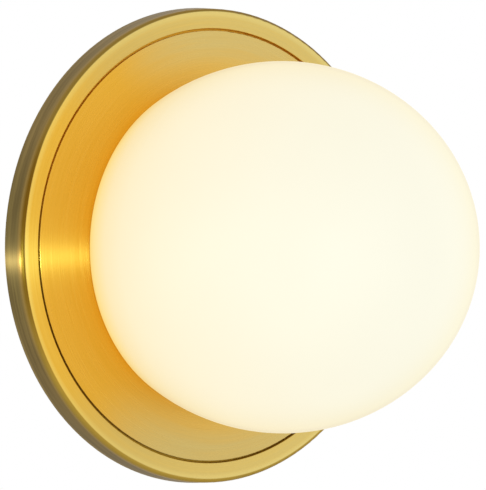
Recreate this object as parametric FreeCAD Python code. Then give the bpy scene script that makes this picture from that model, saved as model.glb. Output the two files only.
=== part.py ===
import FreeCAD, Part
import math
import os

# A globe wall light: a round brass wall pan with a sunk inner disc, and an opal glass shade that is
# held by springs on a steel dish, which also carries the lampholder and the wiring.
#
# Millimetres. +Z is up and the wall is the plane Y = 0. The room is on the -Y side. A depth is a
# distance from the wall, so a point at depth d has Y = -d. The light's own axis is the Y axis.

# ---- Brass wall pan and inner disc ----
plate_radius = 100.0          # outer radius of the pan at the wall
plate_depth = 9.7             # wall to the front edge of the rim, before its rounding
rim_taper = 2.0               # how much the rim narrows from the wall to the front
rim_round = 1.3               # radius between rim and outer ring
pan_wall = 2.5                # thickness of the rim
pan_inner_round = 1.5
outer_ring_width = 9.6        # plate edge at the wall to the shadow groove
outer_ring_fall = 2.0         # how much nearer to the wall the ring is at the groove than at the rim
groove_width = 0.8            # gap between outer ring and inner disc
disc_recess = 0.3             # how far the disc lies below the ring at the groove
disc_thickness = 1.6
ledge_width = 6.5             # ledge in the pan that the disc rests on
ledge_thickness = 1.5
edge_break = 0.3              # small rounding of turned edges
disc_stud_count = 4
disc_stud_radius = 1.5
disc_nut_thickness = 2.4
disc_nut_flats = 5.5          # across flats

# ---- Opal glass shade ----
glass_radius = 72.6           # at its widest
glass_draw_in = 3.6           # how much smaller the radius is at the foot
glass_back_length = 27.2      # foot to the widest place
glass_front_length = 82.1     # widest place to the tip
glass_wall = 3.5
glass_lip_round = 0.6
gasket_thickness = 0.5
gasket_inset = 0.4            # gasket edges lie inside the edges of the glass foot

# ---- Steel dish that carries the shade and the electrics ----
spring_room = 8.5             # between the dish and the mouth of the glass
dish_sheet = 1.0
dish_height = 19.2            # flange to the dish's front
dish_bend = 2.0               # inner radius of the front bend
flange_bend = 0.5
flange_width = 9.5
disc_hole_clearance = 1.0     # between the dish and the hole in the brass disc
carrier_screw_count = 4
carrier_screw_length = 6.0

# ---- Springs that grip the glass ----
spring_count = 3
spring_thickness = 0.5
spring_width = 8.0
spring_foot_length = 8.0
spring_crest_depth = 4.0      # from the dish's front back to the start of the spring's crest
spring_crest_length = 3.0
spring_tail_depth = 13.0      # from the dish's front back to the free end
spring_bend = 1.2
spring_gap = 0.3              # crest to glass
rivet_radius = 1.5
rivet_head_radius = 2.8
rivet_head_height = 0.9

# ---- Strap on the wall ----
strap_thickness = 2.0
strap_end_margin = 5.5        # slot's end to strap's end
strap_half_width = 12.0
wall_slot_spacing = 80.0      # between the slots' centres
wall_slot_length = 25.0
wall_slot_radius = 2.5
arm_half_width = 10.0         # upright arm with the raised ends
arm_end_margin = 10.0         # fixing screw to arm's end
arm_rise = 14.0               # wall to the front of the raised ends
arm_riser_gap = 4.0           # riser's outer face to the fixing screw
arm_bend = 1.0
fixing_screw_place = 44.0     # from the axis, up and down
bracket_nut_flats = 7.0
bracket_nut_height = 4.0
bracket_nut_collar = 1.5      # pressed length of the nut in the strap
bracket_nut_collar_radius = 2.8

# ---- Cable bush and lead grommet ----
cable_bore_radius = 4.5
cable_bush_radius = 7.9
cable_bush_flange_radius = 10.5
cable_bush_flange = 1.5
lead_bore_radius = 6.2
grommet_waist_radius = 7.35
grommet_flange_radius = 9.0
grommet_flange = 1.0

# ---- Screws and nuts by their thread ----
m3_radius = 1.5
m4_radius = 2.0
head_radius_factor = 1.9      # head radius over thread radius
head_height_factor = 1.3      # head height over thread radius
recess_depth_share = 0.5      # depth of a screw's cross recess over its head's height
recess_reach_share = 0.5      # half length of the recess over the head's radius
recess_width_share = 0.125    # half width of the recess over the head's radius
fastener_angle = 45.0         # first of the studs and of the carrier screws, from +X
m4_nut_flats = 7.0
m4_nut_thickness = 3.2
washer_radius = 4.5
washer_thickness = 0.8
thread_clearance = 0.05       # between a thread and its tapped hole
hole_clearance = 0.2          # between a screw and a plain hole

# ---- Stirrup and lampholder ----
stirrup_sheet = 1.0
stirrup_rise = 5.0            # dish's front to the stirrup's front
stirrup_half_length = 30.0
stirrup_top_half_length = 20.0
stirrup_half_width = 9.0
stirrup_bend = 0.6
stirrup_screw_place = 25.0
stirrup_screw_length = 5.0
stirrup_lead_hole = 7.0
holder_radius = 10.5
holder_height = 20.0
holder_round = 1.2
holder_flange_half_length = 18.0
holder_flange_half_width = 6.0
holder_flange_height = 3.5
holder_screw_place = 14.0
holder_screw_length = 7.0
lamp_recess_depth = 3.0
lamp_recess_clearance = 0.4
lamp_seat_clearance = 0.3     # lamp base to the holder's face and to the recess floor
contact_sheet = 0.4
contact_width = 3.6
contact_length = 10.5
contact_gap = 0.3             # contact leaf to lamp pin, and screw tip to lead
pocket_clearance = 0.2

# ---- Lamp with two pins ----
pin_spacing = 9.0
pin_wire_radius = 0.4
pin_loop_half_width = 1.2
pin_length = 9.5
lamp_plug_half_length = 7.3
lamp_plug_half_width = 4.0
lamp_radius = 7.9
lamp_base_height = 8.0
lamp_base_round = 0.8
envelope_radius = 7.6
envelope_wall = 0.8
envelope_round = 6.0          # outer radius of the domed end
envelope_length = 29.5
board_half_width = 5.0
board_half_thickness = 0.5
board_length = 24.0
chip_rows = 6
chip_side = 2.6
chip_height = 0.6
chip_column_offset = 2.3

# ---- Terminal block and leads ----
pole_count = 3
pole_pitch = 10.0
block_depth = 15.0            # front to back
block_height = 17.0
block_drop = 25.5             # block's centre below the axis
block_round = 1.0
insert_radius = 2.5
insert_bore_radius = 1.6
insert_length = 13.0
insert_clearance = 0.1
terminal_screw_radius = 1.2
terminal_screw_offset = 4.5
terminal_screw_length = 5.4
terminal_hole_radius = 1.6
terminal_slot_width = 0.5
terminal_slot_depth = 0.8
lead_radius = 1.0
lead_entry = 2.5              # lead past the first screw, inside the terminal
lead_drop_depth = 5.0         # holder lead's turn, behind the dish's front
lead_turn_height = 8.0        # where the leads turn towards the block, below the axis
earth_screw_height = 24.0     # above the axis
earth_screw_length = 7.0
lug_ring_radius = 4.2
lug_sheet = 0.8
lug_barrel_radius = 1.6
lug_barrel_length = 5.0
lug_barrel_start = 13.0       # above the axis
lug_lead_run = 1.0            # straight lead before the barrel
lug_neck_half_width = 1.3
arc_share = 0.45              # share of the shorter run that a lead's bend takes

# ---- Sizes and places that follow ----
ledge_outer = plate_radius - outer_ring_width
ledge_inner = ledge_outer - ledge_width
disc_radius = ledge_outer - groove_width
ring_low_depth = plate_depth - outer_ring_fall
disc_front = ring_low_depth - disc_recess
ledge_front = disc_front - disc_thickness
ledge_back = ledge_front - ledge_thickness
rim_inner_radius = plate_radius - rim_taper * ledge_back / plate_depth - pan_wall
disc_stud_place = ledge_inner + ledge_width / 2

glass_foot = disc_front + gasket_thickness
glass_widest = glass_foot + glass_back_length
glass_tip = glass_widest + glass_front_length
glass_foot_radius = glass_radius - glass_draw_in
glass_mouth_radius = glass_foot_radius - glass_wall

dish_radius = glass_mouth_radius - spring_room
dish_front = ledge_front + dish_height
dish_back = dish_front - dish_sheet
disc_inner = dish_radius + disc_hole_clearance
carrier_screw_place = (disc_inner + glass_mouth_radius) / 2

strap_half_length = wall_slot_spacing / 2 + wall_slot_length / 2 + strap_end_margin
arm_half_length = fixing_screw_place + arm_end_margin

stirrup_front = dish_front + stirrup_rise
holder_face = stirrup_front + holder_height
recess_floor = holder_face - lamp_recess_depth
pin_place = pin_spacing / 2
lamp_plug_back = recess_floor + lamp_seat_clearance
lamp_shoulder = holder_face + lamp_seat_clearance
lamp_base_front = lamp_shoulder + lamp_base_height
contact_bottom = recess_floor - contact_length - pocket_clearance

block_front = dish_back
block_back = block_front - block_depth
pole_depth = (block_front + block_back) / 2
terminal_screw_tip = pole_depth - lead_radius - contact_gap


# ---- Drawing tools ----
def at(x, depth, z=0.0):
    """Point at a depth in front of the wall."""
    return FreeCAD.Vector(x, -depth, z)


def round_corner(before, corner, after, radius):
    """Start, middle and end of the arc that rounds a corner between two straight runs."""
    if radius == 0:
        return corner, None, corner
    to_before = (before - corner).normalize()
    to_after = (after - corner).normalize()
    half_angle = to_before.getAngle(to_after) / 2
    reach = radius / math.tan(half_angle)
    bisector = (to_before + to_after).normalize()
    middle = corner + bisector * (radius / math.sin(half_angle) - radius)
    return corner + to_before * reach, middle, corner + to_after * reach


def outline_face(corners):
    """Face in the plane z = 0 from corners (across, depth, radius of rounding)."""
    points = [at(across, depth) for across, depth, radius in corners]
    count = len(points)
    rounds = []
    for index in range(count):
        after = points[(index + 1) % count]
        rounds.append(round_corner(points[index - 1], points[index], after, corners[index][2]))
    edges = []
    for index, (start, middle, end) in enumerate(rounds):
        if middle:
            edges.append(Part.Arc(start, middle, end).toShape())
        edges.append(Part.makeLine(end, rounds[(index + 1) % count][0]))
    return Part.Face(Part.Wire(edges))


def turned(corners, x=0.0, z=0.0):
    """Solid turned about the line along Y through (x, z)."""
    solid = outline_face(corners).revolve(FreeCAD.Vector(), FreeCAD.Vector(0, 1, 0), 360)
    solid.translate(FreeCAD.Vector(x, 0, z))
    return solid


def disc(radius, depth_from, depth_to, x=0.0, z=0.0):
    """Round bar along Y between two depths."""
    return Part.makeCylinder(radius, depth_to - depth_from, at(x, depth_from, z), at(0, 1))


def ring(outer, inner, depth_from, depth_to, x=0.0, z=0.0):
    """Round washer or tube along Y."""
    return disc(outer, depth_from, depth_to, x, z).cut(disc(inner, depth_from, depth_to, x, z))


def block(low_x, high_x, depth_from, depth_to, low_z, high_z):
    """Box between two corners."""
    return Part.makeBox(high_x - low_x, depth_to - depth_from, high_z - low_z, at(low_x, depth_to, low_z))


def stadium(half_length, half_width, depth_from, depth_to):
    """Plate with round ends, long way along X."""
    place = half_length - half_width
    middle = block(-place, place, depth_from, depth_to, -half_width, half_width)
    return middle.fuse([disc(half_width, depth_from, depth_to, side * place) for side in (-1, 1)])


def hexagon(across_flats, depth_from, depth_to, x=0.0, z=0.0):
    """Hexagonal bar along Y."""
    corner_radius = across_flats / math.sqrt(3)
    corners = []
    for step in range(7):
        angle = math.radians(60 * step)
        corner = at(x + corner_radius * math.cos(angle), depth_from, z + corner_radius * math.sin(angle))
        corners.append(corner)
    face = Part.Face(Part.makePolygon(corners))
    return face.extrude(at(0, depth_to - depth_from))


def sheet_corners(path, thickness, bend):
    """Corners of a bent sheet. Its path is one face, and the sheet lies to the path's left."""
    normals = []
    for (across, depth), (next_across, next_depth) in zip(path, path[1:]):
        length = math.hypot(next_across - across, next_depth - depth)
        normals.append(((depth - next_depth) / length, (next_across - across) / length))
    near = []
    far = []
    for index, (across, depth) in enumerate(path):
        first = normals[max(index - 1, 0)]
        second = normals[min(index, len(normals) - 1)]
        turn = first[0] * second[1] - first[1] * second[0]
        reach = thickness / (1 + first[0] * second[0] + first[1] * second[1])
        far_across = across + (first[0] + second[0]) * reach
        far_depth = depth + (first[1] + second[1]) * reach
        outside, inside = (bend + thickness, bend) if turn else (0, 0)
        near.append((across, depth, outside if turn > 0 else inside))
        far.append((far_across, far_depth, inside if turn > 0 else outside))
    return near + far[::-1]


def folded_sheet(path, thickness, bend, half_width):
    """Bent sheet with its path across X, and its width along Z."""
    face = outline_face(sheet_corners(path, thickness, bend))
    face.translate(FreeCAD.Vector(0, 0, -half_width))
    return face.extrude(FreeCAD.Vector(0, 0, 2 * half_width))


def about_axis(shape, angle):
    """Copy turned about the light's axis, anticlockwise as the room sees it."""
    copy = shape.copy()
    copy.rotate(FreeCAD.Vector(), at(0, 1), angle)
    return copy


def around(count, first_angle=0.0):
    """Angles of evenly spaced copies."""
    return [first_angle + 360.0 * index / count for index in range(count)]


def group(shapes):
    """Separate solids that share one node."""
    solids = []
    for shape in shapes:
        solids.extend(shape.Solids)
    return Part.makeCompound(solids)


def screw(thread_radius, seat, tip, x=0.0, z=0.0):
    """Pan-head screw along Y with a cross recess. The head lies on the seat, away from the tip."""
    outward = 1 if seat > tip else -1
    head_radius = thread_radius * head_radius_factor
    head_height = thread_radius * head_height_factor
    top = seat + outward * head_height
    body = turned([(0, tip, 0), (thread_radius, tip, edge_break), (thread_radius, seat, 0),
                   (head_radius, seat, 0), (head_radius, top, head_height / 2), (0, top, 0)], x, z)
    low, high = sorted((top - outward * head_height * recess_depth_share, top + outward))
    reach = head_radius * recess_reach_share
    width = head_radius * recess_width_share
    return body.cut([block(x - reach, x + reach, low, high, z - width, z + width),
                     block(x - width, x + width, low, high, z - reach, z + reach)])


def nut(thread_radius, across_flats, depth_from, depth_to, x=0.0, z=0.0):
    """Hexagon nut along Y."""
    bore = disc(thread_radius + thread_clearance, depth_from, depth_to, x, z)
    return hexagon(across_flats, depth_from, depth_to, x, z).cut(bore)


def lead(name, points):
    """Round wire along straight runs joined by arcs. Prints its bends' radii."""
    runs = [(after - before).Length for before, after in zip(points, points[1:])]
    edges = []
    start = points[0]
    radii = []
    for index in range(1, len(points) - 1):
        before, corner, after = points[index - 1:index + 2]
        half_turn = (corner - before).getAngle(after - corner) / 2
        radius = arc_share * min(runs[index - 1], runs[index]) / math.tan(half_turn)
        radii.append(round(radius, 1))
        arc_start, middle, arc_end = round_corner(before, corner, after, radius)
        edges.append(Part.makeLine(start, arc_start))
        edges.append(Part.Arc(arc_start, middle, arc_end).toShape())
        start = arc_end
    edges.append(Part.makeLine(start, points[-1]))
    path = Part.Wire(edges)
    section = Part.Wire(Part.makeCircle(lead_radius, points[0], points[1] - points[0]))
    wire = path.makePipeShell([section], True, False)
    expected = math.pi * lead_radius ** 2 * path.Length
    print(name, "bend radii", radii, "volume over section times length", round(wire.Volume / expected, 4))
    return wire


# ---- Brass ----
def build_back_pan():
    """Rim, dished outer ring and the ledge behind the groove, turned from one piece."""
    pan = turned([
        (plate_radius, 0, edge_break),
        (plate_radius - rim_taper, plate_depth, rim_round),
        (ledge_outer, ring_low_depth, edge_break),
        (ledge_outer, ledge_front, 0),
        (ledge_inner, ledge_front, edge_break),
        (ledge_inner, ledge_back, 0),
        (rim_inner_radius, ledge_back, pan_inner_round),
        (plate_radius - pan_wall, 0, 0),
    ])
    hole = disc(disc_stud_radius + hole_clearance, ledge_back, ledge_front, disc_stud_place)
    return pan.cut([about_axis(hole, angle) for angle in around(disc_stud_count, fastener_angle)])


def build_face_disc():
    """Sunk inner disc, with threaded studs on its back and holes for the carrier screws."""
    plate = turned([
        (disc_inner, ledge_front, 0),
        (disc_radius, ledge_front, 0),
        (disc_radius, disc_front, edge_break),
        (disc_inner, disc_front, edge_break),
    ])
    stud_end = ledge_back - disc_nut_thickness - edge_break
    stud = disc(disc_stud_radius, stud_end, ledge_front, disc_stud_place)
    hole = disc(m3_radius + hole_clearance, ledge_front, disc_front, carrier_screw_place)
    plate = plate.fuse([about_axis(stud, angle) for angle in around(disc_stud_count, fastener_angle)])
    return plate.cut([about_axis(hole, angle) for angle in around(carrier_screw_count, fastener_angle)])


def build_face_disc_nuts():
    """Nuts that pull the disc onto the ledge."""
    one = nut(disc_stud_radius, disc_nut_flats, ledge_back - disc_nut_thickness, ledge_back, disc_stud_place)
    return group([about_axis(one, angle) for angle in around(disc_stud_count, fastener_angle)])


# ---- Glass ----
def half_ellipse_arc(widest_radius, widest_depth, length, end):
    """Ellipse arc from the widest place to an end point, length being the half axis along Y."""
    centre = at(0, widest_depth)
    across = at(widest_radius, widest_depth)
    along = at(0, widest_depth + length)
    if abs(length) > widest_radius:
        ellipse = Part.Ellipse(along, across, centre)
    else:
        ellipse = Part.Ellipse(across, along, centre)
    first, last = sorted([ellipse.parameter(across), ellipse.parameter(end)])
    return Part.ArcOfEllipse(ellipse, first, last).toShape()


def glass_solid(radius, foot_radius, front_length):
    """Everything inside a glass surface: two half ellipses that meet at the widest place."""
    back_axis = glass_back_length / math.sqrt(1 - (foot_radius / radius) ** 2)
    foot = at(foot_radius, glass_foot)
    tip = at(0, glass_widest + front_length)
    back = half_ellipse_arc(radius, glass_widest, -back_axis, foot)
    front = half_ellipse_arc(radius, glass_widest, front_length, tip)
    base = Part.makeLine(at(0, glass_foot), foot)
    axis = Part.makeLine(tip, at(0, glass_foot))
    face = Part.Face(Part.Wire([base, back, front, axis]))
    return face.revolve(FreeCAD.Vector(), FreeCAD.Vector(0, 1, 0), 360)


def build_glass_shade():
    """Blown opal glass, open at the foot, with a rounded lip."""
    outside = glass_solid(glass_radius, glass_foot_radius, glass_front_length)
    inside = glass_solid(glass_radius - glass_wall, glass_mouth_radius, glass_front_length - glass_wall)
    shade = outside.cut(inside)
    lips = [edge for edge in shade.Edges if edge.BoundBox.YLength < edge_break
            and abs(edge.BoundBox.YMax + glass_foot) < edge_break]
    return shade.makeFillet(glass_lip_round, lips)


def build_shade_gasket():
    """Soft ring between the glass foot and the disc."""
    outer = glass_foot_radius - glass_lip_round - gasket_inset / 2
    inner = glass_mouth_radius + glass_lip_round + gasket_inset / 2
    return ring(outer, inner, disc_front, glass_foot)


# ---- Dish, springs and their fasteners ----
def build_carrier_dish():
    """Pressed steel dish: a flange behind the disc, a wall and a flat front."""
    flange_radius = dish_radius + flange_width
    flange_back = ledge_front - dish_sheet
    inner_radius = dish_radius - dish_sheet
    dish = turned([
        (flange_radius, flange_back, 0),
        (flange_radius, ledge_front, 0),
        (dish_radius, ledge_front, flange_bend),
        (dish_radius, dish_front, dish_bend + dish_sheet),
        (0, dish_front, 0),
        (0, dish_back, 0),
        (inner_radius, dish_back, dish_bend),
        (inner_radius, flange_back, flange_bend + dish_sheet),
    ])
    flange_hole = disc(m3_radius + thread_clearance, flange_back, ledge_front, carrier_screw_place)
    rivet_hole = disc(rivet_radius, dish_back, dish_front, rivet_place())
    holes = [about_axis(flange_hole, angle) for angle in around(carrier_screw_count, fastener_angle)]
    holes += [about_axis(rivet_hole, angle) for angle in around(spring_count)]
    for side in (-1, 1):
        fixing = disc(m4_radius + hole_clearance, dish_back, dish_front, 0, side * fixing_screw_place)
        foot = disc(m3_radius + thread_clearance, dish_back, dish_front, side * stirrup_screw_place)
        terminal = disc(m3_radius + thread_clearance, dish_back, dish_front,
                        side * pole_pitch / 2, -block_drop)
        holes += [fixing, foot, terminal]
    holes.append(disc(m4_radius + hole_clearance, dish_back, dish_front, 0, earth_screw_height))
    holes.append(disc(grommet_waist_radius + thread_clearance, dish_back, dish_front))
    return dish.cut(holes)


def build_carrier_screws():
    """Screws through the disc into the dish's flange, hidden by the glass."""
    one = screw(m3_radius, disc_front, disc_front - carrier_screw_length, carrier_screw_place)
    return group([about_axis(one, angle) for angle in around(carrier_screw_count, fastener_angle)])


def glass_inside_radius(depth):
    """Inner radius of the glass behind its widest place."""
    inner_radius = glass_radius - glass_wall
    mouth_ratio = glass_mouth_radius / inner_radius
    height = (glass_widest - depth) / glass_back_length
    return inner_radius * math.sqrt(1 - height ** 2 * (1 - mouth_ratio ** 2))


def rivet_place():
    """Distance of a spring's rivet from the axis."""
    return dish_radius - dish_bend - dish_sheet - spring_foot_length / 2


def build_shade_springs():
    """Leaf springs: a foot on the dish's front, a crest towards the glass and a tail on the dish's wall."""
    crest_front = dish_front - spring_crest_depth
    crest_back = crest_front - spring_crest_length
    crest = glass_inside_radius(crest_back) - spring_gap - spring_thickness
    foot_start = rivet_place() - spring_foot_length / 2
    over_edge = dish_radius + spring_thickness
    path = [(foot_start, dish_front), (over_edge, dish_front), (crest, crest_front), (crest, crest_back),
            (dish_radius + spring_gap, dish_front - spring_tail_depth)]
    spring = folded_sheet(path, spring_thickness, spring_bend, spring_width / 2)
    spring = spring.cut(disc(rivet_radius, dish_front, dish_front + spring_thickness, rivet_place()))
    return group([about_axis(spring, angle) for angle in around(spring_count)])


def build_spring_rivets():
    """Rivets that hold the springs' feet."""
    seat = dish_front + spring_thickness
    top = seat + rivet_head_height
    back = dish_back - rivet_head_height
    one = turned([(0, back, 0), (rivet_head_radius, back, rivet_head_height / 2),
                  (rivet_head_radius, dish_back, 0), (rivet_radius, dish_back, 0), (rivet_radius, seat, 0),
                  (rivet_head_radius, seat, 0), (rivet_head_radius, top, rivet_head_height / 2),
                  (0, top, 0)], rivet_place())
    return group([about_axis(one, angle) for angle in around(spring_count)])


# ---- Wall fixing ----
def build_wall_bracket():
    """Strap with two slots for wall screws, and two raised ends for the light's fixing screws."""
    strap = stadium(strap_half_length, strap_half_width, 0, strap_thickness)
    back = arm_rise - strap_thickness
    foot = fixing_screw_place - arm_riser_gap - strap_thickness
    path = [(-arm_half_length, back), (-foot, back), (-foot, 0),
            (foot, 0), (foot, back), (arm_half_length, back)]
    arm = folded_sheet(path, strap_thickness, arm_bend, arm_half_width)
    arm = about_axis(arm.common(stadium(arm_half_length, arm_half_width, 0, arm_rise)), 90)
    slot = stadium(wall_slot_length / 2, wall_slot_radius, 0, strap_thickness)
    cuts = [disc(cable_bush_radius + thread_clearance, 0, strap_thickness)]
    for side in (-1, 1):
        moved = slot.copy()
        moved.translate(FreeCAD.Vector(side * wall_slot_spacing / 2, 0, 0))
        cuts.append(moved)
        cuts.append(disc(bracket_nut_collar_radius, back, arm_rise, 0, side * fixing_screw_place))
    return strap.fuse(arm).cut(cuts).removeSplitter()


def build_bracket_nuts():
    """Nuts pressed into the raised ends from behind."""
    seat = arm_rise - strap_thickness
    nuts = []
    for side in (-1, 1):
        z = side * fixing_screw_place
        body = hexagon(bracket_nut_flats, seat - bracket_nut_height, seat, 0, z)
        collar = disc(bracket_nut_collar_radius, seat, seat + bracket_nut_collar, 0, z)
        bore = disc(m4_radius + thread_clearance, seat - bracket_nut_height, arm_rise, 0, z)
        nuts.append(body.fuse(collar).cut(bore))
    return group(nuts)


def build_fixing_screws():
    """Screws from the dish into the strap's nuts."""
    seat = dish_front + washer_thickness
    tip = arm_rise - strap_thickness - bracket_nut_height
    return group([screw(m4_radius, seat, tip, 0, side * fixing_screw_place) for side in (-1, 1)])


def build_fixing_washers():
    """Washers under the fixing screws' heads."""
    return group([ring(washer_radius, m4_radius + hole_clearance, dish_front, dish_front + washer_thickness,
                       0, side * fixing_screw_place) for side in (-1, 1)])


def build_cable_bush():
    """Bush that lines the strap's hole where the mains cable comes out of the wall."""
    front = strap_thickness + cable_bush_flange
    return turned([
        (cable_bore_radius, 0, 0),
        (cable_bush_radius, 0, 0),
        (cable_bush_radius, strap_thickness, 0),
        (cable_bush_flange_radius, strap_thickness, 0),
        (cable_bush_flange_radius, front, edge_break),
        (cable_bore_radius, front, 0),
    ])


# ---- Lampholder ----
def build_holder_bracket():
    """Steel stirrup that stands on the dish and carries the lampholder."""
    inner = stirrup_top_half_length - stirrup_sheet
    top_back = stirrup_front - stirrup_sheet
    path = [(-stirrup_half_length, dish_front), (-inner, dish_front), (-inner, top_back),
            (inner, top_back), (inner, dish_front), (stirrup_half_length, dish_front)]
    sheet = folded_sheet(path, stirrup_sheet, stirrup_bend, stirrup_half_width)
    cuts = [disc(stirrup_lead_hole, top_back, stirrup_front)]
    for side in (-1, 1):
        cuts.append(disc(m3_radius + thread_clearance, top_back, stirrup_front, side * holder_screw_place))
        cuts.append(disc(m3_radius + hole_clearance, dish_front, dish_front + stirrup_sheet,
                         side * stirrup_screw_place))
    return sheet.cut(cuts)


def build_holder_bracket_screws():
    """Screws that hold the stirrup on the dish."""
    seat = dish_front + stirrup_sheet
    return group([screw(m3_radius, seat, seat - stirrup_screw_length, side * stirrup_screw_place)
                  for side in (-1, 1)])


def build_lampholder_body():
    """Ceramic body with a recess for the lamp's plug, two contact pockets and a flange with ears."""
    body = turned([(0, stirrup_front, 0), (holder_radius, stirrup_front, 0),
                   (holder_radius, holder_face, holder_round), (0, holder_face, 0)])
    flange_front = stirrup_front + holder_flange_height
    ears = stadium(holder_flange_half_length, holder_flange_half_width, stirrup_front, flange_front)
    recess_length = lamp_plug_half_length + lamp_recess_clearance
    recess_width = lamp_plug_half_width + lamp_recess_clearance
    cuts = [block(-recess_length, recess_length, recess_floor, holder_face, -recess_width, recess_width)]
    pocket_length = contact_width / 2 + pocket_clearance
    pocket_width = pin_wire_radius + contact_gap + contact_sheet + pocket_clearance
    for side in (-1, 1):
        place = side * pin_place
        cuts.append(block(place - pocket_length, place + pocket_length, contact_bottom, recess_floor,
                          -pocket_width, pocket_width))
        cuts.append(disc(lead_radius + pocket_clearance, stirrup_front, contact_bottom, place))
        cuts.append(disc(m3_radius + hole_clearance, stirrup_front, flange_front, side * holder_screw_place))
    return body.fuse(ears).cut(cuts).removeSplitter()


def build_lampholder_contacts():
    """Two sprung leaves folded round each lamp pin."""
    outer = pin_wire_radius + contact_gap + contact_sheet
    top = contact_bottom + contact_length
    path = [(-outer, top), (-outer, contact_bottom), (outer, contact_bottom), (outer, top)]
    leaf = about_axis(folded_sheet(path, contact_sheet, edge_break, contact_width / 2), 90)
    leaves = []
    for side in (-1, 1):
        moved = leaf.copy()
        moved.translate(FreeCAD.Vector(side * pin_place, 0, 0))
        leaves.append(moved)
    return group(leaves)


def build_lampholder_screws():
    """Screws through the ears into the stirrup."""
    seat = stirrup_front + holder_flange_height
    return group([screw(m3_radius, seat, seat - holder_screw_length, side * holder_screw_place)
                  for side in (-1, 1)])


def build_lead_grommet():
    """Rubber grommet in the dish where the leads go through."""
    back = dish_back - grommet_flange
    front = dish_front + grommet_flange
    return turned([
        (lead_bore_radius, back, edge_break),
        (grommet_flange_radius, back, edge_break),
        (grommet_flange_radius, dish_back, 0),
        (grommet_waist_radius, dish_back, 0),
        (grommet_waist_radius, dish_front, 0),
        (grommet_flange_radius, dish_front, 0),
        (grommet_flange_radius, front, edge_break),
        (lead_bore_radius, front, edge_break),
    ])


# ---- Lamp ----
def build_lamp_base():
    """Round base with the flat plug that enters the lampholder."""
    base = turned([(0, lamp_shoulder, 0), (lamp_radius, lamp_shoulder, lamp_base_round),
                   (lamp_radius, lamp_base_front, 0), (0, lamp_base_front, 0)])
    plug = block(-lamp_plug_half_length, lamp_plug_half_length, lamp_plug_back, lamp_shoulder,
                 -lamp_plug_half_width, lamp_plug_half_width)
    return base.fuse(plug).removeSplitter()


def build_lamp_pins():
    """Two wire loops."""
    bend = pin_loop_half_width
    bottom = lamp_plug_back - pin_length + pin_wire_radius
    loops = []
    for side in (-1, 1):
        place = side * pin_place
        left = at(place - bend, lamp_plug_back)
        left_low = at(place - bend, bottom + bend)
        right_low = at(place + bend, bottom + bend)
        right = at(place + bend, lamp_plug_back)
        curve = Part.Arc(left_low, at(place, bottom), right_low).toShape()
        path = Part.Wire([Part.makeLine(left, left_low), curve, Part.makeLine(right_low, right)])
        section = Part.Wire(Part.makeCircle(pin_wire_radius, left, left_low - left))
        loops.append(path.makePipeShell([section], True, False))
    return group(loops)


def build_lamp_envelope():
    """Clear cover with a domed end."""
    tip = lamp_base_front + envelope_length
    inner_radius = envelope_radius - envelope_wall
    outside = turned([(0, lamp_base_front, 0), (envelope_radius, lamp_base_front, 0),
                      (envelope_radius, tip, envelope_round), (0, tip, 0)])
    inside = turned([(0, lamp_base_front, 0), (inner_radius, lamp_base_front, 0),
                     (inner_radius, tip - envelope_wall, envelope_round - envelope_wall),
                     (0, tip - envelope_wall, 0)])
    return outside.cut(inside)


def build_lamp_board():
    """Board that stands on the base inside the cover."""
    return block(-board_half_width, board_half_width, lamp_base_front, lamp_base_front + board_length,
                 -board_half_thickness, board_half_thickness)


def build_lamp_chips():
    """Light chips in two columns on both faces of the board."""
    chips = []
    pitch = board_length / chip_rows
    half_side = chip_side / 2
    for row in range(chip_rows):
        depth = lamp_base_front + pitch * (row + 0.5)
        for column in (-1, 1):
            x = column * chip_column_offset
            for face in (-1, 1):
                seat = face * board_half_thickness
                low, high = sorted((seat, seat + face * chip_height))
                chips.append(block(x - half_side, x + half_side, depth - half_side, depth + half_side,
                                   low, high))
    return group(chips)


# ---- Wiring ----
def pole_places():
    """The terminal poles' places along X."""
    return [pole_pitch * (index - (pole_count - 1) / 2) for index in range(pole_count)]


def along_z(radius, x, depth, low_z, high_z):
    """Round bar along Z."""
    return Part.makeCylinder(radius, high_z - low_z, at(x, depth, low_z))


def build_terminal_block():
    """Plastic block with a bore for each pole, and holes for the screws."""
    half_length = pole_count * pole_pitch / 2
    top = -block_drop + block_height / 2
    bottom = -block_drop - block_height / 2
    body = block(-half_length, half_length, block_back, block_front, bottom, top)
    corners = [edge for edge in body.Edges if edge.BoundBox.YLength > block_depth / 2]
    body = body.makeFillet(block_round, corners)
    cuts = []
    for x in pole_places():
        cuts.append(along_z(insert_radius + insert_clearance, x, pole_depth, bottom, top))
        for side in (-1, 1):
            cuts.append(disc(terminal_hole_radius, block_back, pole_depth, x,
                             -block_drop + side * terminal_screw_offset))
    for side in (-1, 1):
        place = side * pole_pitch / 2
        cuts.append(disc(m3_radius + hole_clearance, block_back, block_front, place, -block_drop))
    return body.cut(cuts)


def build_terminal_inserts():
    """Brass tubes that hold the wires."""
    tubes = []
    low = -block_drop - insert_length / 2
    high = -block_drop + insert_length / 2
    for x in pole_places():
        tube = along_z(insert_radius, x, pole_depth, low, high)
        cuts = [along_z(insert_bore_radius, x, pole_depth, low, high)]
        for side in (-1, 1):
            cuts.append(disc(terminal_screw_radius + thread_clearance, block_back, pole_depth, x,
                             -block_drop + side * terminal_screw_offset))
        tubes.append(tube.cut(cuts))
    return group(tubes)


def build_terminal_screws():
    """Headless slotted screws that clamp the wires."""
    end = terminal_screw_tip - terminal_screw_length
    screws = []
    for x in pole_places():
        for side in (-1, 1):
            z = -block_drop + side * terminal_screw_offset
            stem = disc(terminal_screw_radius, end, terminal_screw_tip, x, z)
            low_x = x - terminal_screw_radius
            high_x = x + terminal_screw_radius
            slot = block(low_x, high_x, end, end + terminal_slot_depth,
                         z - terminal_slot_width / 2, z + terminal_slot_width / 2)
            screws.append(stem.cut(slot))
    return group(screws)


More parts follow.
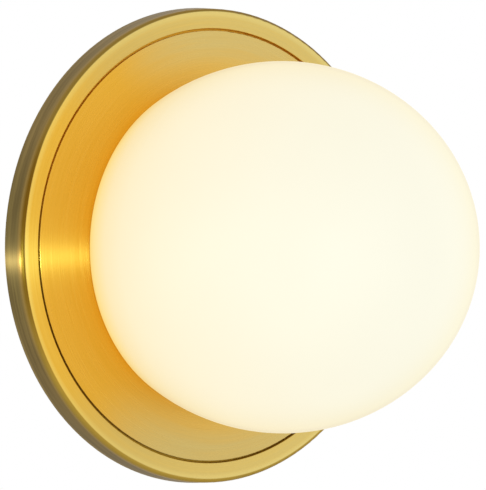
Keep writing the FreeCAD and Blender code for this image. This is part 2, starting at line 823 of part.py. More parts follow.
def build_terminal_fixing_screws():
    """Screws that hold the block on the back of the dish."""
    tip = dish_front + dish_sheet
    return group([screw(m3_radius, block_back, tip, side * pole_pitch / 2, -block_drop) for side in (-1, 1)])


def build_holder_lead(name, side):
    """Lead from a lampholder contact, through the grommet, to an outer pole."""
    pole = side * pole_pitch * (pole_count - 1) / 2
    turn_depth = dish_front - lead_drop_depth
    end = -block_drop + terminal_screw_offset - lead_entry
    return lead(name, [at(side * pin_place, contact_bottom), at(side * pin_place, turn_depth),
                       at(pole, pole_depth, -lead_turn_height), at(pole, pole_depth, end)])


def lug_depth():
    """Depth of the centre of the lug's barrel, which touches the back of the dish."""
    return dish_back - lug_barrel_radius


def build_earth_lead():
    """Lead from the middle pole to the earth lug."""
    start = -block_drop + terminal_screw_offset - lead_entry
    return lead("earth_lead", [at(0, pole_depth, start), at(0, pole_depth),
                               at(0, lug_depth(), lug_barrel_start - lug_lead_run),
                               at(0, lug_depth(), lug_barrel_start + lug_barrel_length)])


def build_earth_lug():
    """Ring lug crimped to the earth lead."""
    ring_back = dish_back - lug_sheet
    barrel_end = lug_barrel_start + lug_barrel_length
    plate = disc(lug_ring_radius, ring_back, dish_back, 0, earth_screw_height)
    neck = block(-lug_neck_half_width, lug_neck_half_width, ring_back, dish_back,
                 barrel_end, earth_screw_height)
    barrel = along_z(lug_barrel_radius, 0, lug_depth(), lug_barrel_start, barrel_end)
    bore = along_z(lead_radius, 0, lug_depth(), lug_barrel_start, barrel_end)
    hole = disc(m4_radius + hole_clearance, ring_back, dish_back, 0, earth_screw_height)
    return plate.fuse([neck, barrel]).cut([bore, hole]).removeSplitter()


def build_earth_screw():
    """Screw that clamps the lug to the dish."""
    return screw(m4_radius, dish_front, dish_front - earth_screw_length, 0, earth_screw_height)


def build_earth_nut():
    """Nut on the earth screw, behind the lug."""
    seat = dish_back - lug_sheet
    return nut(m4_radius, m4_nut_flats, seat - m4_nut_thickness, seat, 0, earth_screw_height)


def build_pieces():
    """Every piece of the light by the name of its node."""
    return {
        "back_pan": build_back_pan(),
        "face_disc": build_face_disc(),
        "face_disc_nuts": build_face_disc_nuts(),
        "glass_shade": build_glass_shade(),
        "shade_gasket": build_shade_gasket(),
        "carrier_dish": build_carrier_dish(),
        "carrier_screws": build_carrier_screws(),
        "shade_springs": build_shade_springs(),
        "spring_rivets": build_spring_rivets(),
        "wall_bracket": build_wall_bracket(),
        "bracket_nuts": build_bracket_nuts(),
        "fixing_screws": build_fixing_screws(),
        "fixing_washers": build_fixing_washers(),
        "cable_bush": build_cable_bush(),
        "holder_bracket": build_holder_bracket(),
        "holder_bracket_screws": build_holder_bracket_screws(),
        "lampholder_body": build_lampholder_body(),
        "lampholder_contacts": build_lampholder_contacts(),
        "lampholder_screws": build_lampholder_screws(),
        "lead_grommet": build_lead_grommet(),
        "lamp_base": build_lamp_base(),
        "lamp_pins": build_lamp_pins(),
        "lamp_envelope": build_lamp_envelope(),
        "lamp_board": build_lamp_board(),
        "lamp_chips": build_lamp_chips(),
        "terminal_block": build_terminal_block(),
        "terminal_inserts": build_terminal_inserts(),
        "terminal_screws": build_terminal_screws(),
        "terminal_fixing_screws": build_terminal_fixing_screws(),
        "live_lead": build_holder_lead("live_lead", -1),
        "neutral_lead": build_holder_lead("neutral_lead", 1),
        "earth_lead": build_earth_lead(),
        "earth_lug": build_earth_lug(),
        "earth_screw": build_earth_screw(),
        "earth_nut": build_earth_nut(),
    }


def main():
    """Write one STEP file for each piece."""
    os.makedirs("parts", exist_ok=True)
    for node, shape in build_pieces().items():
        shape.exportStep(f"parts/{node}.step")
        print(node, "valid" if shape.isValid() else "INVALID", len(shape.Solids), "solids",
              round(shape.Volume, 1), "mm3")


main()
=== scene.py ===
import math

import bpy
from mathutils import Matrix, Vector


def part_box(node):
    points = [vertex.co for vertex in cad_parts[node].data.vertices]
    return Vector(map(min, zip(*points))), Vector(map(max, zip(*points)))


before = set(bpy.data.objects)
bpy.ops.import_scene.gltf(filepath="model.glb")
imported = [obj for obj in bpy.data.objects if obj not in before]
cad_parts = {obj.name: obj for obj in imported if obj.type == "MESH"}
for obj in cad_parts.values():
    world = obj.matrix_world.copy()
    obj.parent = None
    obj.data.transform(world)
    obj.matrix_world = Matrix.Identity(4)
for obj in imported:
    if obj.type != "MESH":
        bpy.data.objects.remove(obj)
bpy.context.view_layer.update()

# A globe wall light. Metres and degrees. +Z is up, the wall is the plane Y = 0 and the room is on the -Y
# side. A depth is a distance from the wall. A height is a share of the distance from the light's axis: -1 is
# straight below the axis, 0 is level with it and 1 is straight above. A pair of numbers gives where a change
# begins and where it is complete.

# ---- Camera, as found from the photograph's outlines ----
PHOTO_LONG_SIDE = 490
FOCAL_PIXELS = 1000.0
CAMERA_AZIMUTH = -37.74
CAMERA_ELEVATION = 0.91
CAMERA_DISTANCE = 0.4255
SHIFT_RIGHT_PIXELS = 21.52
SHIFT_UP_PIXELS = 0.95
SENSOR_MILLIMETRES = 36.0
NEAREST_SEEN = 0.01

# ---- Stage ----
WHITE = (1, 1, 1, 1)
FLOOR_RADIUS = 0.5
FLOOR_Z = -0.3
FLOOR_COLOUR = (0.8, 0.8, 0.79, 1)
FLOOR_ROUGHNESS = 0.8
FLOOR_WHITE_SHARE = 0.6       # of plain white, where the floor is seen straight or in metal and glass
WORLD_COLOUR = (1.0, 0.99, 0.97, 1)
WORLD_LEVEL = 0.45            # of the world's light on surfaces
LAMPS = (                     # name, azimuth, elevation, distance, side, watts, colour
    ("streak", -20, -3.4, 1.5, 0.05, 6.2, (0.45, 0.75, 1.0)),
    ("side", -88, -5.3, 1.2, 0.04, 4.2, (0.95, 0.97, 1.0)),
    ("fill", 28, 3, 1.3, 0.9, 0.3, (0.8, 0.9, 1.0)),
)

# ---- Brass: where each tone lies; most are painted shade, highlight and reflection ----
RIM_TO_RING = 0.0031          # plate edge to the end of the rim's rounding
TONE_BLEND = 0.0002           # half the width over which ring turns to rim
SHADE_LINE_WIDTH = 0.0009           # painted shade: dark line on the rounding, beside the ring
SHADE_LINE_BLEND = 0.0006
SHADE_LINE_REACH_LOW = 0.0003       # how far the line reaches onto the ring below the heights given next
SHADE_LINE_REACH_HIGH = -0.0002     # and above them
SHADE_LINE_HEIGHTS = (0.17, 0.42)
ROUNDING_DEPTH = 0.0028       # of the rounding and what shades into it, from the plate's front; its lighter tone is painted reflection
ROUNDING_BLEND = 0.0018
RING_HIGHLIGHT_FROM = 0.0024       # painted highlight, a bright band at the ring's edge: where it sets in, and is full
RING_HIGHLIGHT_TO = 0.0009
RING_HIGHLIGHT_SHARE = 0.8
LOW_HEIGHTS = (-0.5, -0.12)   # painted reflection from below: lighter rounding and line below
WALL_SIDE_REFLECTION_DEPTHS = (0.0005, 0.0035)     # painted reflection: lighter strip of the rim beside the wall
WALL_SIDE_REFLECTION_HEIGHTS = (-0.4, -0.2)
GROOVE_WIDTH = 0.0008
GROOVE_BLEND = 0.0001
# heights over which the groove's painted shade lightens upwards
GROOVE_SHADE_HEIGHTS = (-0.1, 0.3)
DISC_OUTER = (0.074, 0.084)   # radii between which the disc's pale tone, painted reflection, grows to its full share; inside them the disc keeps more painted warm light from the glass
DISC_INNER_SHARE = 0.45
DISC_HALVES = (-0.1, 0.1)
FACING_WALL = (0.3, 0.6)      # of the surface direction's share towards the wall

# Heights, up or down, between which the brass grows paler: painted reflection, above and below.
PALER_RIM = (0.15, 0.5)
PALER_LINE = (0.25, 0.5)
PALER_RING = (0.45, 0.88)
PALER_DISC_ABOVE = (0.73, 1.0)
PALER_DISC_BELOW = (0.62, 0.95)

# ---- Brass: brush lines and gloss ----
FINE_PITCH = 0.0004           # across the brush lines
FINE_ARC = 2.6                # their changes along a radian
PAN_COARSE_PITCH = 0.0013
DISC_COARSE_PITCH = 0.0022
COARSE_ARC = 2.0
BRUSH_DEPTH = 0.00002
BRUSH_STRENGTH = 0.3
PAN_ROUGHNESS = (0.30, 0.34)  # in the darkest and in the brightest brush lines
DISC_ROUGHNESS = (0.24, 0.28)
FINE_SPREAD = (0.3, 0.7)      # noise levels between which one tone turns to the other
COARSE_SPREAD = (0.4, 0.62)
PALER_SPREAD = (0.2, 0.6)
PALER_LEAST_SHARE = 0.75      # of the pale tone, painted reflection, in its faintest brush line
RAW_SCALE = 60                # stains a metre
RAW_SPREAD = (0.35, 0.65)

# ---- Brass: colours, with painted shade, highlight and reflection ----
# rim's side: the same brass darkened olive, painted shade
RIM_SHADE_COLOUR = (0.15, 0.105, 0.032, 1)
RIM_STREAK_SHADE_COLOUR = (0.21, 0.15, 0.045, 1)
# rim paler above and below: painted reflection
RIM_REFLECTION_COLOUR = (0.19, 0.128, 0.040, 1)
RIM_STREAK_REFLECTION_COLOUR = (0.26, 0.178, 0.058, 1)
# lighter, bluer rim beside the wall below: painted reflection
WALL_SIDE_REFLECTION_TINT = (1.45, 1.5, 1.7, 1)
# rim's rounding: painted reflection, lighter below
ROUNDING_REFLECTION_COLOUR = (0.30, 0.19, 0.048, 1)
LOW_ROUNDING_REFLECTION_COLOUR = (0.40, 0.26, 0.062, 1)
# dark line on the rounding beside the ring: painted shade; paler above and below and lighter below as painted
# reflection
SHADE_LINE_COLOUR = (0.18, 0.092, 0.008, 1)
PALE_SHADE_LINE_COLOUR = (0.27, 0.17, 0.03, 1)
LOW_SHADE_LINE_COLOUR = (0.44, 0.285, 0.045, 1)
RING_COLOUR = (0.85, 0.53, 0.068, 1)
RING_STREAK_COLOUR = (0.91, 0.60, 0.10, 1)
# ring paler above and below: painted reflection
RING_REFLECTION_COLOUR = (0.68, 0.52, 0.165, 1)
RING_STREAK_REFLECTION_COLOUR = (0.75, 0.57, 0.18, 1)
# bright band at the ring's edge: painted highlight
RING_HIGHLIGHT_COLOUR = (0.93, 0.70, 0.18, 1)
PALE_RING_HIGHLIGHT_COLOUR = (0.78, 0.63, 0.22, 1)
# disc: brass warmed by painted light from the lit glass
GLASS_LIT_DISC_COLOUR = (0.75, 0.41, 0.040, 1)
GLASS_LIT_DISC_STREAK_COLOUR = (0.81, 0.45, 0.056, 1)
# disc paler above and below: painted reflection
DISC_REFLECTION_COLOUR = (0.62, 0.46, 0.155, 1)
DISC_STREAK_REFLECTION_COLOUR = (0.67, 0.50, 0.165, 1)
# inside the groove: painted shade, darker below
GROOVE_SHADE_COLOUR = (0.78, 0.45, 0.045, 1)
LOW_GROOVE_SHADE_COLOUR = (0.46, 0.28, 0.03, 1)
RAW_BRASS = (0.50, 0.36, 0.14, 1)
RAW_BRASS_STAIN = (0.62, 0.46, 0.20, 1)

# ---- Other materials ----
GRAIN_SPREAD = (0.35, 0.65)   # noise levels between which one tone turns to the other
STRIPE_BLEND = 0.00005        # half the width over which the green lead turns to yellow
CHIP_GLOW = 1.6

# ---- Glass ----
GLASS_BODY = (0.20, 0.17, 0.115, 1)
GLASS_CLOUD = (0.23, 0.20, 0.14, 1)
GLASS_CLOUD_SCALE = 34.0
GLASS_ROUGHNESS = 0.6
GLASS_IOR = 1.45
GLOW_STRENGTH = 0.8
GLOW_COLOURS = [              # from the glass's foot, 0, to its tip, 1
    (0.0, (1.00, 0.70, 0.17, 1)),
    (0.05, (0.99, 0.79, 0.35, 1)),
    (0.14, (0.99, 0.84, 0.52, 1)),
    (0.25, (1.00, 0.88, 0.60, 1)),
    (0.45, (1.01, 0.92, 0.68, 1)),
    (0.75, (1.01, 0.97, 0.79, 1)),
    (1.0, (1.02, 1.00, 0.85, 1)),
]
LIMB_TINT = (0.95, 0.91, 0.78, 1)       # where the glass turns away from the eye
LIMB_FACING = (0.45, 1.0)
OUTLINE_TINT = (0.93, 0.93, 0.97, 1)    # and last at its outline
OUTLINE_FACING = (0.78, 0.9)

# ---- Sizes from the frame ----
plate_low, plate_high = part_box("back_pan")
glass_low, glass_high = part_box("glass_shade")
PLATE_RADIUS = plate_high.x
PLATE_FRONT = -plate_low.y
DISC_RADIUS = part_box("face_disc")[1].x
GLASS_FOOT = -glass_high.y
GLASS_TIP = -glass_low.y
RING_EDGE = PLATE_RADIUS - RIM_TO_RING


# ---- Node tools ----
def new_material(name):
    """Material with an empty node tree but for its shader and output."""
    material = bpy.data.materials.new(name)
    material.use_nodes = True
    nodes = material.node_tree.nodes
    nodes.clear()
    output = nodes.new("ShaderNodeOutputMaterial")
    shader = nodes.new("ShaderNodeBsdfPrincipled")
    material.node_tree.links.new(shader.outputs["BSDF"], output.inputs["Surface"])
    return material, shader


class Tree:
    """Short ways to add nodes to one material."""

    def __init__(self, material):
        self.nodes = material.node_tree.nodes
        self.links = material.node_tree.links

    def feed(self, value, socket):
        """Sets a socket to a number or colour, or links an output to it."""
        if isinstance(value, bpy.types.NodeSocket):
            self.links.new(value, socket)
        else:
            socket.default_value = value

    def position(self):
        """Place on the object, in metres."""
        return self.nodes.new("ShaderNodeTexCoord").outputs["Object"]

    def normal(self):
        """Surface direction in the object's own frame."""
        return self.nodes.new("ShaderNodeTexCoord").outputs["Normal"]

    def math(self, operation, first, second=0.0, third=0.0):
        """One arithmetic step."""
        node = self.nodes.new("ShaderNodeMath")
        node.operation = operation
        for socket, value in zip(node.inputs, (first, second, third)):
            self.feed(value, socket)
        return node.outputs[0]

    def split(self, vector):
        """X, Y and Z of a vector."""
        node = self.nodes.new("ShaderNodeSeparateXYZ")
        self.feed(vector, node.inputs[0])
        return node.outputs

    def join(self, x, y, z):
        """Vector from three numbers."""
        node = self.nodes.new("ShaderNodeCombineXYZ")
        for socket, value in zip(node.inputs, (x, y, z)):
            self.feed(value, socket)
        return node.outputs[0]

    def stretched(self, x, y, z):
        """Place on the object, scaled by a factor along each axis."""
        node = self.nodes.new("ShaderNodeVectorMath")
        node.operation = "MULTIPLY"
        self.feed(self.position(), node.inputs[0])
        node.inputs[1].default_value = (x, y, z)
        return node.outputs[0]

    def noise(self, vector, scale=1.0, detail=2.0, roughness=0.5):
        """Smooth noise from 0 to 1."""
        node = self.nodes.new("ShaderNodeTexNoise")
        self.feed(vector, node.inputs["Vector"])
        node.inputs["Scale"].default_value = scale
        node.inputs["Detail"].default_value = detail
        node.inputs["Roughness"].default_value = roughness
        return node.outputs["Fac"]

    def cells(self, vector, scale):
        """Colours of a soft cell pattern."""
        node = self.nodes.new("ShaderNodeTexVoronoi")
        node.feature = "SMOOTH_F1"
        self.feed(vector, node.inputs["Vector"])
        node.inputs["Scale"].default_value = scale
        return node.outputs["Color"]

    def spread(self, value, low, high, to_low=0.0, to_high=1.0, smooth=False):
        """Value rescaled from one range to another, held at its ends."""
        node = self.nodes.new("ShaderNodeMapRange")
        node.interpolation_type = "SMOOTHSTEP" if smooth else "LINEAR"
        for socket, number in zip(node.inputs, (value, low, high, to_low, to_high)):
            self.feed(number, socket)
        return node.outputs[0]

    def mix(self, share, first, second, blend="MIX"):
        """Blend of two colours."""
        node = self.nodes.new("ShaderNodeMix")
        node.data_type = "RGBA"
        node.blend_type = blend
        sockets = [socket for socket in node.inputs if socket.type == "RGBA"]
        self.feed(share, node.inputs[0])
        self.feed(first, sockets[0])
        self.feed(second, sockets[1])
        return [socket for socket in node.outputs if socket.type == "RGBA"][0]

    def tint(self, colour, by):
        """Colour multiplied by another."""
        return self.mix(1.0, colour, by, "MULTIPLY")

    def ramp(self, value, stops):
        """Colour ramp from (place, colour) stops."""
        node = self.nodes.new("ShaderNodeValToRGB")
        elements = node.color_ramp.elements
        while len(elements) < len(stops):
            elements.new(0.5)
        for element, (place, colour) in zip(elements, stops):
            element.position = place
            element.color = colour
        self.feed(value, node.inputs[0])
        return node.outputs[0]

    def bump(self, height, strength, distance):
        """Normal from a height."""
        node = self.nodes.new("ShaderNodeBump")
        node.inputs["Strength"].default_value = strength
        node.inputs["Distance"].default_value = distance
        self.feed(height, node.inputs["Height"])
        return node.outputs[0]

    def from_axis(self):
        """Direction round the light's axis as sideways and height, distance from the axis, and depth."""
        x, y, z = self.split(self.position())
        radius = self.math("SQRT", self.math("ADD", self.math("MULTIPLY", x, x), self.math("MULTIPLY", z, z)))
        turn_x = self.math("DIVIDE", x, radius)
        turn_z = self.math("DIVIDE", z, radius)
        return turn_x, turn_z, radius, self.math("MULTIPLY", y, -1.0)


# ---- Brass ----
def brushed_rings(tree, pitch, arc):
    """Noise drawn out along circles about the light's axis, finer across them."""
    turn_x, turn_z, radius, depth = tree.from_axis()
    across = tree.math("DIVIDE", tree.math("ADD", radius, depth), pitch)
    along = (tree.math("MULTIPLY", turn_x, arc), tree.math("MULTIPLY", turn_z, arc))
    return tree.noise(tree.join(*along, across), detail=3.0, roughness=0.6)


def brushed_metal(tree, shader, colour, streaks, roughness):
    """Turned metal brushed in circles, which draws each highlight out along a radius."""
    shader.inputs["Metallic"].default_value = 1.0
    shader.inputs["Anisotropic"].default_value = 1.0
    shader.inputs["Anisotropic Rotation"].default_value = 0.25
    tangent = tree.nodes.new("ShaderNodeTangent")
    tangent.direction_type = "RADIAL"
    tangent.axis = "Y"
    tree.links.new(tangent.outputs[0], shader.inputs["Tangent"])
    tree.feed(colour, shader.inputs["Base Color"])
    tree.feed(tree.spread(streaks, *FINE_SPREAD, *roughness), shader.inputs["Roughness"])
    tree.feed(tree.bump(streaks, BRUSH_STRENGTH, BRUSH_DEPTH), shader.inputs["Normal"])


def paler(tree, heights, line):
    """Share of the paler brass, painted reflection, more towards the top and bottom of the plate, in uneven
    brush lines.
    """
    share = tree.spread(tree.math("ABSOLUTE", tree.from_axis()[1]), *heights, smooth=True)
    return tree.math("MULTIPLY", share, tree.spread(line, *PALER_SPREAD, PALER_LEAST_SHARE, 1.0))


def groove_shade(tree):
    """Painted shade inside the groove: darker brass, darkest below."""
    return tree.mix(tree.spread(tree.from_axis()[1], *GROOVE_SHADE_HEIGHTS), LOW_GROOVE_SHADE_COLOUR, GROOVE_SHADE_COLOUR)


def dull_behind(tree, front):
    """The front's colour, and dull brass on what faces the wall."""
    facing_wall = tree.spread(tree.split(tree.normal())[1], *FACING_WALL)
    stain = tree.spread(tree.noise(tree.position(), RAW_SCALE, 4.0), *RAW_SPREAD)
    return tree.mix(facing_wall, front, tree.mix(stain, RAW_BRASS, RAW_BRASS_STAIN))


def rim_tone(tree, coarse):
    """Rim darkened olive as painted shade, paler above and below, lighter on its rounding and beside the wall
    below as painted reflection, with a dark line of painted shade beside the ring.
    """
    height, radius, depth = tree.from_axis()[1:]
    shade_line_edge = RING_EDGE + SHADE_LINE_WIDTH
    rounding_edge = PLATE_FRONT - ROUNDING_DEPTH
    on_shade_line = tree.spread(radius, shade_line_edge, shade_line_edge + SHADE_LINE_BLEND, 1.0, 0.0)
    on_rounding = tree.spread(depth, rounding_edge, rounding_edge + ROUNDING_BLEND)
    # painted reflection: lighter strip of the rim beside the wall, below
    wall_side_reflection = tree.math("MULTIPLY", tree.spread(depth, *WALL_SIDE_REFLECTION_DEPTHS, 1.0, 0.0),
                        tree.spread(height, *WALL_SIDE_REFLECTION_HEIGHTS, 1.0, 0.0))
    below = tree.spread(height, *LOW_HEIGHTS, 1.0, 0.0)
    share = tree.spread(coarse, *COARSE_SPREAD)
    dark = tree.mix(share, RIM_SHADE_COLOUR, RIM_STREAK_SHADE_COLOUR)
    pale = tree.mix(share, RIM_REFLECTION_COLOUR, RIM_STREAK_REFLECTION_COLOUR)
    rim = tree.mix(paler(tree, PALER_RIM, coarse), dark, pale)
    rim = tree.mix(wall_side_reflection, rim, tree.tint(rim, WALL_SIDE_REFLECTION_TINT))
    rim = tree.mix(on_rounding, rim, tree.mix(below, ROUNDING_REFLECTION_COLOUR, LOW_ROUNDING_REFLECTION_COLOUR))
    line = tree.mix(paler(tree, PALER_LINE, coarse), SHADE_LINE_COLOUR, PALE_SHADE_LINE_COLOUR)
    return tree.mix(on_shade_line, rim, tree.mix(below, line, LOW_SHADE_LINE_COLOUR))


def ring_tone(tree, fine, coarse):
    """Golden ring with a painted highlight at its edge, painted reflection paler above and below, and painted
    shade where it turns into the groove.
    """
    radius = tree.from_axis()[2]
    groove_edge = DISC_RADIUS + GROOVE_WIDTH
    on_highlight = tree.spread(radius, RING_EDGE - RING_HIGHLIGHT_FROM, RING_EDGE - RING_HIGHLIGHT_TO, 0.0, RING_HIGHLIGHT_SHARE)
    share = tree.spread(fine, *FINE_SPREAD)
    golden = tree.mix(share, RING_COLOUR, RING_STREAK_COLOUR)
    golden = tree.mix(on_highlight, golden, RING_HIGHLIGHT_COLOUR)
    pale = tree.mix(share, RING_REFLECTION_COLOUR, RING_STREAK_REFLECTION_COLOUR)
    pale = tree.mix(on_highlight, pale, PALE_RING_HIGHLIGHT_COLOUR)
    ring = tree.mix(paler(tree, PALER_RING, coarse), golden, pale)
    return tree.mix(tree.spread(radius, groove_edge, groove_edge + GROOVE_BLEND), groove_shade(tree), ring)


def pan_brass():
    """The pan: golden outer ring, rim darkened olive as painted shade, and a dull back; its tones by place
    are painted shade, highlight and reflection.
    """
    material, shader = new_material("pan_brass")
    tree = Tree(material)
    fine = brushed_rings(tree, FINE_PITCH, FINE_ARC)
    coarse = brushed_rings(tree, PAN_COARSE_PITCH, COARSE_ARC)
    height, radius = tree.from_axis()[1:3]
    # the dark line of painted shade reaches further onto the ring below
    shade_line_reach = tree.spread(height, *SHADE_LINE_HEIGHTS, SHADE_LINE_REACH_LOW, SHADE_LINE_REACH_HIGH)
    shifted = tree.math("ADD", radius, shade_line_reach)
    on_ring = tree.spread(shifted, RING_EDGE - TONE_BLEND, RING_EDGE + TONE_BLEND, 1.0, 0.0)
    front = tree.mix(on_ring, rim_tone(tree, coarse), ring_tone(tree, fine, coarse))
    brushed_metal(tree, shader, dull_behind(tree, front), fine, PAN_ROUGHNESS)
    return material


def disc_brass():
    """The sunk disc: brass warmed by painted light from the lit glass, most beside the glass, paler above and
    below as painted reflection, and dull behind.
    """
    material, shader = new_material("disc_brass")
    tree = Tree(material)
    fine = brushed_rings(tree, FINE_PITCH, FINE_ARC)
    coarse = brushed_rings(tree, DISC_COARSE_PITCH, COARSE_ARC)
    height, radius = tree.from_axis()[1:3]
    share = tree.spread(fine, *FINE_SPREAD)
    golden = tree.mix(share, GLASS_LIT_DISC_COLOUR, GLASS_LIT_DISC_STREAK_COLOUR)
    pale = tree.mix(share, DISC_REFLECTION_COLOUR, DISC_STREAK_REFLECTION_COLOUR)
    outward = tree.spread(radius, *DISC_OUTER, DISC_INNER_SHARE, 1.0)
    disc_reflection_share = tree.mix(tree.spread(height, *DISC_HALVES), paler(tree, PALER_DISC_BELOW, coarse),
                          paler(tree, PALER_DISC_ABOVE, coarse))
    front = tree.mix(tree.math("MULTIPLY", disc_reflection_share, outward), golden, pale)
    front = tree.mix(tree.spread(radius, DISC_RADIUS - GROOVE_BLEND, DISC_RADIUS), front, groove_shade(tree))
    brushed_metal(tree, shader, dull_behind(tree, front), fine, DISC_ROUGHNESS)
    return material


# ---- Glass ----
def opal_glass():
    """Lit opal glass: warm near the plate and towards its outline, paler towards the tip."""
    material, shader = new_material("opal_glass")
    tree = Tree(material)
    glow = tree.ramp(tree.spread(tree.from_axis()[3], GLASS_FOOT, GLASS_TIP), GLOW_COLOURS)
    edge = tree.nodes.new("ShaderNodeLayerWeight")
    edge.inputs["Blend"].default_value = 0.5
    for facing, tint in ((LIMB_FACING, LIMB_TINT), (OUTLINE_FACING, OUTLINE_TINT)):
        share = tree.spread(edge.outputs["Facing"], *facing, smooth=True)
        glow = tree.mix(share, glow, tree.tint(glow, tint))
    clouds = tree.noise(tree.position(), GLASS_CLOUD_SCALE)
    tree.feed(tree.mix(clouds, GLASS_BODY, GLASS_CLOUD), shader.inputs["Base Color"])
    shader.inputs["Roughness"].default_value = GLASS_ROUGHNESS
    shader.inputs["IOR"].default_value = GLASS_IOR
    tree.feed(glow, shader.inputs["Emission Color"])
    shader.inputs["Emission Strength"].default_value = GLOW_STRENGTH
    return material


def clear_glass():
    """Thin clear glass with slight ripples from moulding."""
    material, shader = new_material("clear_glass")
    tree = Tree(material)
    ripple = tree.noise(tree.stretched(90, 40, 90), detail=1.0)
    tree.feed(tree.mix(ripple, (0.96, 0.98, 0.97, 1), WHITE), shader.inputs["Base Color"])
    tree.feed(tree.spread(ripple, 0.3, 0.7, 0.01, 0.04), shader.inputs["Roughness"])
    shader.inputs["Transmission Weight"].default_value = 1.0
    shader.inputs["IOR"].default_value = 1.47
    tree.feed(tree.bump(ripple, 0.1, 0.0002), shader.inputs["Normal"])
    return material


# ---- Other materials ----
def surface(name, colour, other, vector, scale, roughness, metallic=0.0, bump=0.1, bump_depth=0.00005,
            detail=4.0, **sockets):
    """Surface with slight variation of colour and gloss, and a fine grain."""
    material, shader = new_material(name)
    tree = Tree(material)
    grain = tree.noise(tree.stretched(*vector), scale, detail)
    share = tree.spread(grain, *GRAIN_SPREAD)
    tree.feed(tree.mix(share, (*colour, 1), (*other, 1)), shader.inputs["Base Color"])
    tree.feed(tree.spread(grain, *GRAIN_SPREAD, *roughness), shader.inputs["Roughness"])
    tree.feed(tree.bump(grain, bump, bump_depth), shader.inputs["Normal"])
    shader.inputs["Metallic"].default_value = metallic
    for socket, value in sockets.items():
        shader.inputs[socket.replace("_", " ")].default_value = value
    return material


def galvanised_steel():
    """Zinc-dipped sheet with large pale and dark flakes."""
    material, shader = new_material("galvanised_steel")
    tree = Tree(material)
    tone = tree.split(tree.cells(tree.position(), 260))[0]
    grain = tree.noise(tree.position(), 900, 3.0)
    tree.feed(tree.mix(tone, (0.42, 0.44, 0.46, 1), (0.68, 0.69, 0.70, 1)), shader.inputs["Base Color"])
    tree.feed(tree.spread(tone, 0.0, 1.0, 0.30, 0.48), shader.inputs["Roughness"])
    tree.feed(tree.bump(grain, 0.12, 0.00003), shader.inputs["Normal"])
    shader.inputs["Metallic"].default_value = 1.0
    return material


def striped_insulation():
    """Green insulation with a yellow stripe along one side."""
    material, shader = new_material("striped_insulation")
    tree = Tree(material)
    x = tree.split(tree.position())[0]
    stripe = tree.spread(x, -STRIPE_BLEND, STRIPE_BLEND)
    grain = tree.noise(tree.position(), 700, 3.0)
    tree.feed(tree.mix(stripe, (0.02, 0.22, 0.05, 1), (0.80, 0.62, 0.02, 1)), shader.inputs["Base Color"])
    tree.feed(tree.spread(grain, 0.3, 0.7, 0.32, 0.5), shader.inputs["Roughness"])
    tree.feed(tree.bump(grain, 0.1, 0.00003), shader.inputs["Normal"])
    return material


def lit_chip():
    """Yellow phosphor that glows."""
    material, shader = new_material("lit_chip")
    tree = Tree(material)
    grain = tree.noise(tree.position(), 1500, 3.0)
    tree.feed(tree.mix(grain, (0.9, 0.62, 0.10, 1), (0.95, 0.74, 0.2, 1)), shader.inputs["Base Color"])
    tree.feed(tree.spread(grain, 0.3, 0.7, 0.3, 0.5), shader.inputs["Roughness"])
    tree.feed(tree.mix(grain, (1.0, 0.78, 0.42, 1), (1.0, 0.86, 0.56, 1)), shader.inputs["Emission Color"])
    shader.inputs["Emission Strength"].default_value = CHIP_GLOW
    return material


def dress(material, *names):
    """Gives CAD nodes a material."""
    for name in names:
        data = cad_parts[name].data
        data.materials.clear()
        data.materials.append(material)


